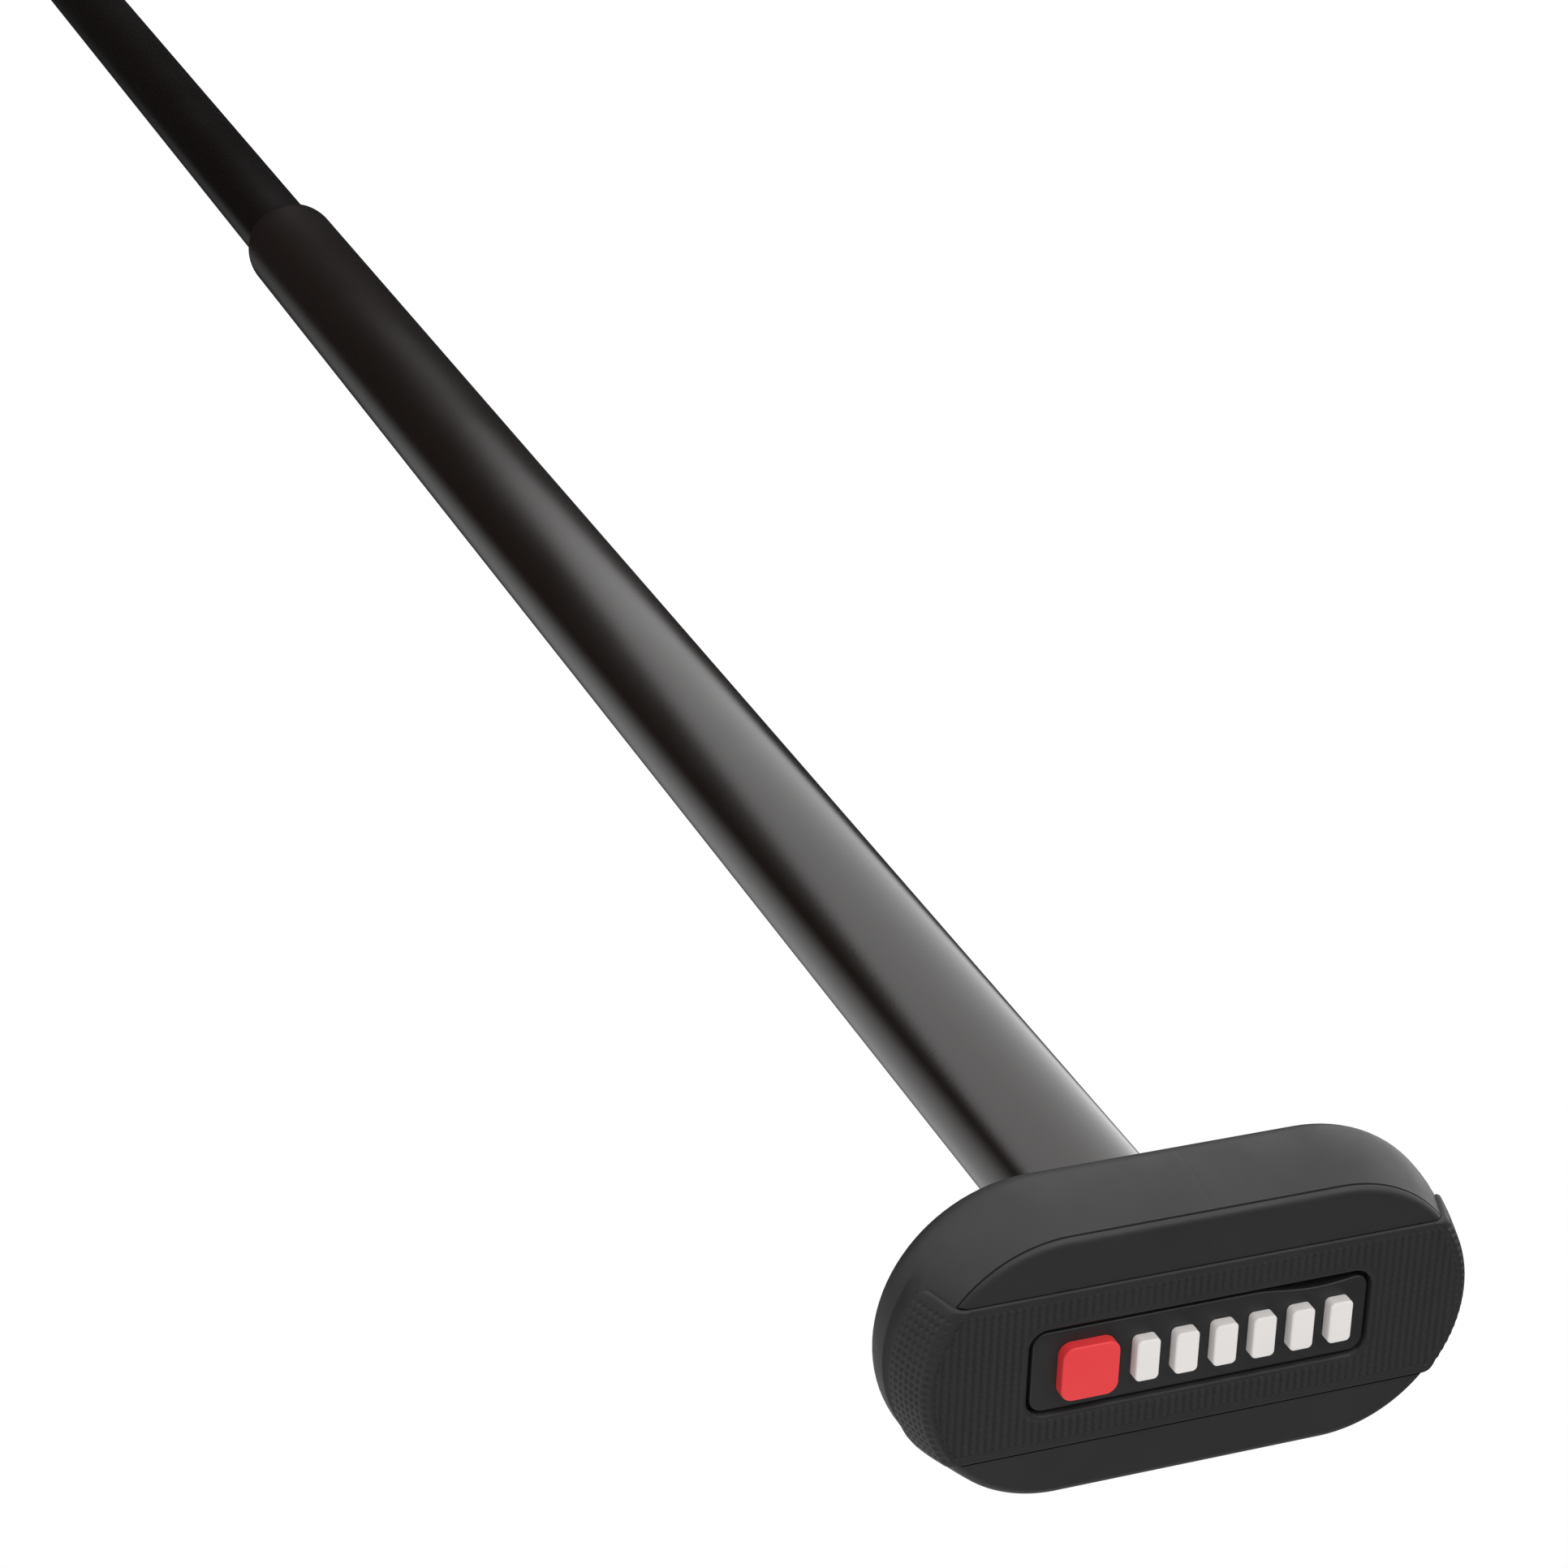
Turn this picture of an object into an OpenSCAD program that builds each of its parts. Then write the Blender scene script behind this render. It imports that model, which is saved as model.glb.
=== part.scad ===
// Telescopic cane: a flat oblong palm handle on a three-section round shaft.
// Each lower section slides up into the one above it and is held by an internal
// twist lock: turning the section draws a cone nut into a split expander sleeve.
// Millimetres. +Z runs up the shaft, the origin is the centre of the tip's foot.

/* [Handle] */
// Length of the handle's top face, across the hand
face_l = 53.5; // [50:0.5:56]
// Width of the handle's top face, twice the radius of its round ends
face_w = 26.9; // [26.7:0.1:29]
// How far the flank leans out beyond the top face at its widest
flare = 1.45; // [1:0.05:2.5]
// Thickness of the handle along the shaft
handle_t = 13; // [12.6:0.2:15]
// Width of the rubber band over the handle
band_w = 16.4; // [14:0.1:17]
// How far the band runs down each end of the handle
band_drop = 5; // [4:0.1:6]
// Length of the badge recess in the band
badge_l = 34; // [28:0.5:35]
// Width of the badge recess in the band
badge_w = 9; // [7:0.25:9.5]

/* [Shaft] */
// Outer diameters of the upper, middle and lower tube
upper_d = 14; // [13.8:0.1:14.2]
middle_d = 10.7; // [10.5:0.1:10.8]
lower_d = 8.2; // [8.0:0.1:8.3]
// Wall thickness of each tube
upper_wall = 0.8; // [0.7:0.05:0.8]
middle_wall = 0.7; // [0.6:0.05:0.7]
lower_wall = 0.6; // [0.5:0.05:0.6]
// Height of the swaged mouth of the upper and the middle tube
upper_swage = 3; // [2.5:0.25:4]
middle_swage = 3; // [2.5:0.25:4]
// Length of the middle and the lower tube that shows when the cane is extended
middle_shown = 303.5; // [285:0.5:320]
lower_shown = 288; // [280:1:320]
// Distance from the handle's top face to the mouth of the upper tube
upper_reach = 323.5; // [320:0.5:345]

/* [Tip] */
// Height of the tip, from the ground to the top of the ferrule
tip_h = 40; // [38:1:44]
// Largest diameter of the tip
tip_d = 12.4; // [12:0.1:13]
// Diameter of the flat foot
foot_d = 8; // [6:0.5:9]

/* [Hidden] */
bar_count = 6;                 // raised bars on the badge, one node each
screw_count = 2;               // screws that hold the cap to the shell, one node each
$fn = 96;

slack = 0.02;        // gap between pieces that are pressed or glued together
run = 0.05;          // radial running clearance between sliding and turning pieces

// heights along the shaft
lower_mouth = tip_h;                          // top of the ferrule
middle_mouth = lower_mouth + lower_shown;     // mouth of the middle tube
upper_mouth = middle_mouth + middle_shown;    // mouth of the upper tube
top = upper_mouth + upper_reach;              // top face of the handle

// tubes
upper_r = upper_d / 2;
upper_bore = upper_r - upper_wall;
middle_r = middle_d / 2;
middle_bore = middle_r - middle_wall;
lower_r = lower_d / 2;
lower_bore = lower_r - lower_wall;

// handle: every section through its rim is the same outline, kept a fixed distance
// round a straight core, so it is an oblong with half-round ends
end_r = face_w / 2;            // end radius of the top face
end_x = face_l / 2 - end_r;    // centre of each round end
wide_r = end_r + flare;        // end radius where the handle is widest
wide_z = 8.2;                  // depth at which it is widest
rear_r = 8.5;                  // end radius of the flat on the rear face
edge_round = 0.9;              // rounding between the top face and the flank
lean = 17;                     // how far the flank leans out where the rounding meets it
seam_z = edge_round * (1 - sin(lean));   // depth of the parting line below the rounding
boss_r = 9;                    // collar round the shaft on the rear face
bore_cut = 1;                  // how far cutting tools run past the faces they open
boss_h = 1.4;
band_t = 1.2;                  // thickness of the band below the top face
band_proud = 0.4;              // how far the band stands out of the shell
cavity_r = 11.4;               // end radius of the shell's cavity
cavity_z = 11;                 // depth of the cavity's floor
cap_plug = 4;                  // depth of the cap's plug, which fits the cavity
cap_post_r = 3.4;              // posts in the shell for the cap's screws
cap_post_sink = 0.5;           // how far the posts run into the cavity's floor
cap_screw_x = 20.5;
cap_screw_r = 1.1;
cap_screw_low = 9;             // depth of the screws' points
cap_screw_bore = 10;           // depth of their holes
cap_head_r = 2.2;
cap_head_h = 1.3;
cross_slot = [2.6, 0.5, 1.4];  // each bar of the cross in a screw's head
socket_top = 4.6;              // depth at which the upper tube ends inside the handle
spigot_r = upper_r - 0.35;     // the tube is turned down where it enters the handle
spigot_lap = 1;                // overlap of the turned part and the full tube
recess_z = 1.4;                // depth of the badge recess
badge_gap = 0.4;               // gap round the badge plate
badge_t = 1.3;
corner_r = 1.8;                // corners of the badge recess
mark_rise = 1.2;               // height of the raised stud and bars above the badge plate
stud_l = 5.6;                  // sides of the square stud
stud_round = 1.2;              // its corners
stud_x = -11.3;
bar_l = 4.3;
bar_t = 2.3;
bar_round = 0.5;
bar_pitch = 3.85;
bar_x = -5.7;                  // centre of the first bar
mark_z = badge_t - recess_z + 2 * slack;   // foot of the stud and the bars
core_len = 11.5;               // length of the plug in the top of the upper tube
cross_pin_r = 0.9;
cross_pin_z = 10.4;            // depth of the pin across the tube and the core plug
pin_sink = 0.05;               // how far the pins' ends lie below the tube's surface
centre_screw_r = 2;
centre_screw_l = 4.4;
centre_head_r = 4;
centre_head_h = centre_head_r - centre_screw_r;
hex_r = 1.5;                   // hexagon socket in the centre screw
hex_deep = 1.1;
big = 100;                     // larger than the handle, for cutting

// lock details, measured from the top end of the tube that carries the lock
bush_len = 12;
bush_inset = 0.6;    // from the top of the guide bush to the end of its tube
spigot_len = 14;     // part of the end plug inside its tube
socket_len = 9;      // depth of the end plug's threaded hole
thread_len = 8;      // length of the lock screw inside it
flange_t = 2;
sleeve_from = 2.4;
sleeve_to = 15;
sleeve_root = 2.6;   // uncut ring at the foot of the split sleeve
cone_from = 5.4;
cone_to = 17;
cone_gap = 0.3;      // between the cone and the sleeve when they are drawn tight
screw_head_from = 20.5;
screw_head_to = 23;
hex_top = 1;         // from the underside of the lock screw's head to its socket
slot_w = 1.2;        // slots that split the sleeve
key_w = 0.8;         // keys on the cone nut that ride in the slots
key_rise = 0.4;
key_drop = 5;
slots = [0, 120, 240];

// tip details
insert_top = tip_h - 4;
insert_low = 9;
tube_foot = 12;          // where the lower tube ends inside the ferrule
wear_h = 7;              // height of the wear tip that shows
wear_round = 2.4;        // rounding of its lower edge
wear_turn = 70;          // angle of that rounding
foot_chamfer = 0.4;      // height between the foot and the rounding
stem_r = 1.8;            // stem of the wear tip, which fits the insert
stem_top = 15;
ferrule_wall = 1.1;      // wall of the ferrule round the tube
ferrule_round = 0.8;
ferrule_lower = 6;       // height of the ferrule's straight lower part
ferrule_taper = 15;      // height at which its taper ends
rim_h = 6;               // height of the thicker rim at its top
rim_rise = 0.5;
tip_pin_z = 26;

module at_top() translate([0, 0, top]) children();

// points of an arc in the outline's plane
function arc(cx, cz, r, from, to, steps = 8) =
    [for (i = [0:steps]) let (a = from + (to - from) * i / steps) [cx + r * cos(a), cz + r * sin(a)]];

// outline of the handle from the middle of its rear face to the middle of its top face,
// moved out by "grow" everywhere except at the rear
function outline(grow = 0, rear_steps = 12, flank_steps = 5) = concat(
    [[0, -handle_t]],
    [for (i = [0:rear_steps]) let (a = 90 * i / rear_steps - 90)
        [rear_r + (wide_r + grow - rear_r) * cos(a), -wide_z + (handle_t - wide_z) * sin(a)]],
    [for (i = [1:flank_steps - 1]) let (down = 1 - i / flank_steps)
        [end_r + grow + flare * sin(90 * down), -seam_z - (wide_z - seam_z) * down]],
    arc(end_r - edge_round * cos(lean), -edge_round, edge_round + grow, lean, 90),
    [[0, grow]]
);

// the outline swept along the core and round both ends
module oblong(grow = 0) {
    rotate([90, 0, 90])
        linear_extrude(2 * end_x, center = true)
            union() {
                polygon(outline(grow));
                mirror([1, 0]) polygon(outline(grow));
            }
    for (side = [0, 180])
        rotate([0, 0, side])
            translate([end_x, 0, 0])
                rotate([0, 0, -90])
                    rotate_extrude(angle = 180) polygon(outline(grow));
}

// straight-walled oblong between two heights
module stadium(r, from, to) {
    translate([0, 0, from]) linear_extrude(to - from) {
        square([2 * end_x, 2 * r], center = true);
        for (x = [-end_x, end_x]) translate([x, 0]) circle(r);
    }
}

// rectangle with round corners, drawn from squares and circles so that it stays exact
module round_rect(l, w, r) {
    square([l - 2 * r, w], center = true);
    square([l, w - 2 * r], center = true);
    for (x = [-1, 1], y = [-1, 1])
        translate([x * (l / 2 - r), y * (w / 2 - r)]) circle(r);
}

// everything above a depth, across a width
module above(depth, width = big)
    translate([-big / 2, -width / 2, -depth]) cube([big, width, big]);

module badge_recess()
    translate([0, 0, -recess_z]) linear_extrude(big) round_rect(badge_l, badge_w, corner_r);

module at_cap_screw(i) translate([(2 * i - screw_count - 1) * cap_screw_x, 0, 0]) children();

module at_cap_screws() for (i = [1:screw_count]) at_cap_screw(i) children();

// hole for a pin that runs across the shaft along Y
module cross_bore() rotate([90, 0, 0]) cylinder(h = 20, r = cross_pin_r + slack, center = true);

// ring between two radii
module ring(outer, inner, from, to) {
    translate([0, 0, from])
        difference() {
            cylinder(h = to - from, r = outer);
            translate([0, 0, -1]) cylinder(h = to - from + 2, r = inner);
        }
}

// ---- handle ----

module rear_shell() {
    color([0.10, 0.10, 0.10]) at_top() difference() {
        union() {
            difference() {
                oblong();
                above(seam_z);
                stadium(cavity_r, -cavity_z, 0);
                difference() {
                    above(band_drop + slack, band_w + 2 * slack);
                    stadium(end_r - band_t, -big, -band_t);
                }
            }
            translate([0, 0, -handle_t - boss_h])
                cylinder(h = handle_t + boss_h - cap_plug - slack, r = boss_r);
            at_cap_screws() translate([0, 0, -cavity_z - cap_post_sink])
                cylinder(h = cavity_z + cap_post_sink - cap_plug - slack, r = cap_post_r);
        }
        translate([0, 0, -handle_t - boss_h - bore_cut])
            cylinder(h = handle_t + boss_h, r = spigot_r + slack);
        at_cap_screws() translate([0, 0, -cap_screw_bore])
            cylinder(h = cap_screw_bore, r = cap_screw_r + slack);
    }
}

module front_cap() {
    color([0.10, 0.10, 0.10]) at_top() difference() {
        union() {
            intersection() {
                oblong();
                above(seam_z - slack);
            }
            stadium(cavity_r - slack, -cap_plug, -seam_z / 2);
            translate([0, 0, -socket_top + slack]) cylinder(h = socket_top - band_t, r = spigot_r);
        }
        above(band_t, band_w + 2 * slack);
        badge_recess();
        translate([0, 0, -socket_top - bore_cut])
            cylinder(h = socket_top + bore_cut, r = centre_screw_r + slack);
        translate([0, 0, -recess_z - centre_head_h])
            cylinder(h = centre_head_h, r1 = centre_screw_r, r2 = centre_head_r);
        at_cap_screws() {
            translate([0, 0, -cap_plug - bore_cut])
                cylinder(h = cap_plug + bore_cut, r = cap_screw_r + slack);
            translate([0, 0, -band_t - cap_head_h])
                cylinder(h = band_t + cap_head_h, r = cap_head_r + slack);
        }
    }
}

module cap_screw(i) {
    head_low = band_t + cap_head_h;
    color("silver") at_top() at_cap_screw(i) difference() {
        union() {
            translate([0, 0, -cap_screw_low])
                cylinder(h = cap_screw_low - band_t - cap_head_h / 2, r = cap_screw_r);
            translate([0, 0, slack - head_low]) cylinder(h = cap_head_h - 4 * slack, r = cap_head_r);
        }
        for (turn = [0, 90])
            rotate([0, 0, turn]) translate([0, 0, -band_t]) cube(cross_slot, center = true);
    }
}

module grip_band() {
    color([0.06, 0.06, 0.06]) at_top() difference() {
        intersection() {
            oblong(band_proud);
            above(band_drop, band_w);
        }
        stadium(end_r - band_t + slack, -big, -band_t + slack);
        translate([0, 0, -band_t]) badge_recess();
    }
}

module badge_plate() {
    color([0.05, 0.05, 0.05]) at_top()
        translate([0, 0, slack - recess_z]) linear_extrude(badge_t)
            round_rect(badge_l - 2 * badge_gap, badge_w - 2 * badge_gap, corner_r - badge_gap);
}

module badge_stud() {
    color([0.8, 0.06, 0.07]) at_top() translate([stud_x, 0, mark_z])
        linear_extrude(mark_rise) round_rect(stud_l, stud_l, stud_round);
}

module badge_bar(i) {
    color([0.85, 0.84, 0.82]) at_top() translate([bar_x + (i - 1) * bar_pitch, 0, mark_z])
        linear_extrude(mark_rise) round_rect(bar_t, bar_l, bar_round);
}

module core_plug() {
    color("gray") at_top() difference() {
        translate([0, 0, -socket_top - core_len]) cylinder(h = core_len, r = upper_bore - slack);
        translate([0, 0, -socket_top - centre_screw_l])
            cylinder(h = centre_screw_l + bore_cut, r = centre_screw_r + slack);
        translate([0, 0, -cross_pin_z]) cross_bore();
    }
}

module cross_pin() {
    color("silver") at_top() translate([0, 0, -cross_pin_z]) rotate([90, 0, 0])
        cylinder(h = 2 * (spigot_r - pin_sink), r = cross_pin_r, center = true);
}

module centre_screw() {
    color("silver") at_top() difference() {
        union() {
            translate([0, 0, slack - socket_top - centre_screw_l])
                cylinder(h = centre_screw_l + socket_top - recess_z - centre_head_h / 2,
                    r = centre_screw_r);
            translate([0, 0, -recess_z - centre_head_h])
                cylinder(h = centre_head_h - slack, r1 = centre_screw_r - slack,
                    r2 = centre_head_r - 2 * slack);
        }
        translate([0, 0, -recess_z - hex_deep]) cylinder(h = 2 * hex_deep, r = hex_r, $fn = 6);
    }
}

// ---- shaft ----

// straight tube whose lower end is swaged in to close on the tube inside it
module swaged_tube(r, bore, lip, swage, low, high) {
    lip_edge = 0.1;   // flat on the rim of the lip
    lip_h = 1;        // height of the lip's straight bore
    inner_steps = 10;
    outer_steps = 14;
    rotate_extrude() polygon(concat(
        [[bore, high], [bore, low + swage]],
        [for (i = [1:inner_steps]) let (a = 90 * i / inner_steps)
            [lip + (bore - lip) * cos(a), low + swage - (swage - lip_h) * sin(a)]],
        [[lip, low]],
        [for (i = [0:outer_steps]) let (a = 90 - 90 * i / outer_steps)
            [lip + lip_edge + (r - lip - lip_edge) * cos(a), low + swage - swage * sin(a)]],
        [[r, high]]
    ));
}

module upper_tube() {
    shoulder = top - handle_t - boss_h - slack;
    color([0.07, 0.06, 0.06]) difference() {
        union() {
            swaged_tube(upper_r, upper_bore, middle_r + run, upper_swage, upper_mouth, shoulder);
            ring(spigot_r, upper_bore, shoulder - spigot_lap, top - socket_top);
        }
        at_top() translate([0, 0, -cross_pin_z]) cross_bore();
    }
}

module middle_tube() {
    color([0.07, 0.06, 0.06])
        swaged_tube(middle_r, middle_bore, lower_r + run, middle_swage, middle_mouth, middle_end);
}

module lower_tube() {
    color([0.07, 0.06, 0.06]) difference() {
        ring(lower_r, lower_bore, tube_foot, lower_end);
        translate([0, 0, tip_pin_z]) cross_bore();
    }
}

// fixed bush behind the swaged mouth, and sliding bush on the end of the inner tube
middle_stop = upper_mouth + upper_swage + bush_len + slack;   // where the middle tube's bush stops
middle_end = middle_stop + bush_len + bush_inset;             // top end of the middle tube
lower_stop = middle_mouth + middle_swage + bush_len + slack;
lower_end = lower_stop + bush_len + bush_inset;

module upper_mouth_bush()
    color("ivory")
        ring(upper_bore - slack, middle_r + run, upper_mouth + upper_swage, middle_stop - slack);

module middle_guide_bush()
    color("ivory") ring(upper_bore - run, middle_r + slack, middle_stop, middle_stop + bush_len);

module middle_mouth_bush()
    color("ivory")
        ring(middle_bore - slack, lower_r + run, middle_mouth + middle_swage, lower_stop - slack);

module lower_guide_bush()
    color("ivory") ring(middle_bore - run, lower_r + slack, lower_stop, lower_stop + bush_len);

// ---- twist lock: one set for each sliding section ----

module end_plug(end, r, bore, thread_r) {
    color("dimgray") difference() {
        union() {
            translate([0, 0, end - spigot_len]) cylinder(h = spigot_len, r = bore - slack);
            translate([0, 0, end]) cylinder(h = flange_t, r = r);
        }
        translate([0, 0, end - socket_len])
            cylinder(h = socket_len + flange_t + bore_cut, r = thread_r + slack);
    }
}

module lock_screw(end, thread_r, head_r) {
    color("silver") difference() {
        union() {
            translate([0, 0, end - thread_len])
                cylinder(h = screw_head_from + thread_len, r = thread_r);
            translate([0, 0, end + screw_head_from])
                cylinder(h = screw_head_to - screw_head_from, r = head_r);
        }
        translate([0, 0, end + screw_head_from + hex_top])
            cylinder(h = screw_head_to, r = thread_r * 0.9, $fn = 6);
    }
}

// split sleeve with a tapered bore that opens towards the cone nut
module expander(end, outer, thin, thick) {
    color("ivory") difference() {
        translate([0, 0, end + sleeve_from]) cylinder(h = sleeve_to - sleeve_from, r = outer - run);
        translate([0, 0, end + sleeve_from - bore_cut]) cylinder(h = sleeve_to, r = thin + cone_gap);
        translate([0, 0, end + cone_from])
            cylinder(h = cone_to - cone_from, r1 = thin + cone_gap, r2 = thick + cone_gap);
        for (turn = slots)
            rotate([0, 0, turn]) translate([0, -slot_w / 2, end + sleeve_from + sleeve_root])
                cube([outer + bore_cut, slot_w, sleeve_to]);
    }
}

module cone_nut(end, thin, thick, thread_r) {
    color("orange") difference() {
        union() {
            translate([0, 0, end + cone_from])
                cylinder(h = cone_to - cone_from, r1 = thin, r2 = thick);
            // keys that ride in the sleeve's slots and stop the nut from turning
            for (turn = slots)
                rotate([0, 0, turn]) translate([0, -key_w / 2, end + sleeve_to - key_drop])
                    cube([thick + key_rise, key_w, cone_to - sleeve_to + key_drop]);
        }
        translate([0, 0, end]) cylinder(h = cone_to + bore_cut, r = thread_r + run);
    }
}

// radii of each lock's cone at its two ends, of its screw and of the screw's head
middle_thin = 2.9;
middle_thick = 4.7;
middle_thread_r = 2;
middle_head_r = 4;
lower_thin = 2.1;
lower_thick = 3.4;
lower_thread_r = 1.5;
lower_head_r = 3;

module middle_end_plug() end_plug(middle_end, middle_r, middle_bore, middle_thread_r);
module middle_lock_screw() lock_screw(middle_end, middle_thread_r, middle_head_r);
module middle_expander() expander(middle_end, upper_bore, middle_thin, middle_thick);
module middle_cone_nut() cone_nut(middle_end, middle_thin, middle_thick, middle_thread_r);

module lower_end_plug() end_plug(lower_end, lower_r, lower_bore, lower_thread_r);
module lower_lock_screw() lock_screw(lower_end, lower_thread_r, lower_head_r);
module lower_expander() expander(lower_end, middle_bore, lower_thin, lower_thick);
module lower_cone_nut() cone_nut(lower_end, lower_thin, lower_thick, lower_thread_r);

// ---- tip ----

module tip_insert() {
    color("dimgray") difference() {
        translate([0, 0, insert_low]) cylinder(h = insert_top - insert_low, r = lower_bore - slack);
        translate([0, 0, insert_low - bore_cut])
            cylinder(h = stem_top - insert_low + 2 * bore_cut, r = stem_r + slack);
        translate([0, 0, tip_pin_z]) cross_bore();
    }
}

module tip_pin()
    color("silver") translate([0, 0, tip_pin_z]) rotate([90, 0, 0])
        cylinder(h = 2 * (lower_r - pin_sink), r = cross_pin_r, center = true);

module tip_ferrule() {
    waist = lower_r + ferrule_wall;
    rim = waist + rim_rise;
    color([0.05, 0.05, 0.05]) difference() {
        rotate_extrude() polygon(concat(
            [[0, wear_h], [tip_d / 2, wear_h]],
            arc(tip_d / 2 - ferrule_round, wear_h + ferrule_lower, ferrule_round, 0, 60, 6),
            [[waist, wear_h + ferrule_taper], [waist, tip_h - rim_h]],
            arc(rim - ferrule_round, tip_h - ferrule_round, ferrule_round, 0, 90, 6),
            [[0, tip_h]]
        ));
        translate([0, 0, tube_foot]) cylinder(h = tip_h, r = lower_r + slack);
        cylinder(h = tube_foot + bore_cut, r = lower_bore + slack);
    }
}

module wear_tip() {
    tip_r = tip_d / 2;
    round_z = foot_chamfer + wear_round * sin(wear_turn);
    color([0.12, 0.12, 0.12]) rotate_extrude() polygon(concat(
        [[0, 0], [foot_d / 2, 0]],
        arc(tip_r - wear_round, round_z, wear_round, -wear_turn, 0, 8),
        [[tip_r, wear_h - slack], [stem_r, wear_h - slack], [stem_r, stem_top], [0, stem_top]]
    ));
}

rear_shell();
front_cap();
grip_band();
badge_plate();
badge_stud();
for (i = [1:bar_count]) badge_bar(i);
for (i = [1:screw_count]) cap_screw(i);
core_plug();
cross_pin();
centre_screw();
upper_tube();
upper_mouth_bush();
middle_expander();
middle_cone_nut();
middle_tube();
middle_guide_bush();
middle_end_plug();
middle_lock_screw();
middle_mouth_bush();
lower_expander();
lower_cone_nut();
lower_tube();
lower_guide_bush();
lower_end_plug();
lower_lock_screw();
tip_insert();
tip_pin();
tip_ferrule();
wear_tip();
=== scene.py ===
"""Telescopic cane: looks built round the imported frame.

The handle, its textured band, the badge, the tubes and the tip are rebuilt as fine
meshes. The pieces inside them stay as the frame made them and only get materials.
"""

import math

import bpy
import numpy as np
from mathutils import Matrix, Vector


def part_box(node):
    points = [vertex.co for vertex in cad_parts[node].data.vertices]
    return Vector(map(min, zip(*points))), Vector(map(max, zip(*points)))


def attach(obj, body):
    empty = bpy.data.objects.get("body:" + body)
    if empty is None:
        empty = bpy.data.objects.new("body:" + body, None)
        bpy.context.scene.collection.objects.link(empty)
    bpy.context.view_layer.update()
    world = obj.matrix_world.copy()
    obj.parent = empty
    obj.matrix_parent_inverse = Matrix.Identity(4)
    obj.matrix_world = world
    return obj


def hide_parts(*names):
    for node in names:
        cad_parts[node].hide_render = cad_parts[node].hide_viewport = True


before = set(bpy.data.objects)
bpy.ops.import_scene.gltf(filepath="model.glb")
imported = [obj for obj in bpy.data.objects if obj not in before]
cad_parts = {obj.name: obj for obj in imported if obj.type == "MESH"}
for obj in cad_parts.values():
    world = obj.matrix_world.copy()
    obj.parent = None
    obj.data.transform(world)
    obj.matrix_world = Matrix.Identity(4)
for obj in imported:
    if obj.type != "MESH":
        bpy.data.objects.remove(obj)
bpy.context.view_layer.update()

MM = 0.001

# ---------------------------------------------------------------- sizes from the frame
cap_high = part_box("front_cap")[1]
shell_low, shell_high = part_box("rear_shell")
band_low, band_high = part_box("grip_band")
plate_low, plate_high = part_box("badge_plate")
stud_low, stud_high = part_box("badge_stud")
upper_low, upper_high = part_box("upper_tube")
middle_low, middle_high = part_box("middle_tube")
lower_low, lower_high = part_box("lower_tube")
ferrule_low, ferrule_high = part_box("tip_ferrule")
wear_low, wear_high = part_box("wear_tip")

TOP = cap_high.z                      # top face of the handle
WIDE_R = shell_high.y                 # end radius where the handle is widest
END_X = shell_high.x - WIDE_R         # centre of each round end
END_R = cap_high.y                    # end radius of the top face
BOSS_Z = shell_low.z                  # underside of the collar round the shaft
BAND_PROUD = band_high.z - TOP
BAND_HALF = band_high.y
BAND_DROP = TOP - band_low.z

# ---------------------------------------------------------------- handle outline
BOSS_H = 1.4 * MM
BOSS_R = 9 * MM
REAR_Z = BOSS_Z + BOSS_H
REAR_R = 8.5 * MM                     # end radius of the flat on the rear face
WIDE_Z = TOP - 8.2 * MM               # height at which the handle is widest
EDGE_R = 0.9 * MM                     # rounding between the top face and the flank
LEAN = math.radians(17)               # how far the flank's normal tips up
SEAM_Z = TOP - EDGE_R * (1 - math.sin(LEAN))
RECESS_DEPTH = 1.4 * MM
RECESS_HALF = Vector((17.0 * MM, 4.5 * MM))
RECESS_CORNER = 1.8 * MM
BAR_COUNT = 6                         # raised bars on the badge


def edge_profile(steps=10):
    """Rounding from the flat top face out to the seam, as (radius, z)."""
    centre_r = END_R - EDGE_R * math.cos(LEAN)
    points = []
    for i in range(steps + 1):
        a = math.pi / 2 + (LEAN - math.pi / 2) * i / steps
        points.append((centre_r + EDGE_R * math.cos(a), TOP - EDGE_R + EDGE_R * math.sin(a)))
    return points


def flank_profile(steps):
    """Flank from the seam out to the widest place, which it reaches upright."""
    points = []
    for i in range(steps + 1):
        down = i / steps
        points.append((END_R + (WIDE_R - END_R) * math.sin(math.pi / 2 * down),
                       SEAM_Z - (SEAM_Z - WIDE_Z) * down))
    return points


def rear_profile(steps=28):
    """Quarter ellipse from the widest place to the flat rear face."""
    points = []
    for i in range(steps + 1):
        a = math.pi / 2 * i / steps
        points.append((REAR_R + (WIDE_R - REAR_R) * math.cos(a),
                       WIDE_Z - (WIDE_Z - REAR_Z) * math.sin(a)))
    return points


# ---------------------------------------------------------------- mesh helpers
def new_object(name, verts, faces, smooth_angle=30):
    """A mesh object with smooth faces and sharp edges over the given angle."""
    mesh = bpy.data.meshes.new(name)
    mesh.from_pydata([tuple(v) for v in verts], [], [tuple(f) for f in faces])
    mesh.validate()
    for polygon in mesh.polygons:
        polygon.use_smooth = True
    mesh.set_sharp_from_angle(angle=math.radians(smooth_angle))
    mesh.update()
    obj = bpy.data.objects.new(name, mesh)
    bpy.context.scene.collection.objects.link(obj)
    return obj


def outward(verts, faces):
    """The faces, turned round if the closed mesh encloses a negative volume."""
    volume = 0
    for f in faces:
        a = Vector(verts[f[0]])
        for i in range(1, len(f) - 1):
            volume += a.dot(Vector(verts[f[i]]).cross(Vector(verts[f[i + 1]])))
    return faces if volume > 0 else [tuple(reversed(f)) for f in faces]


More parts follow.
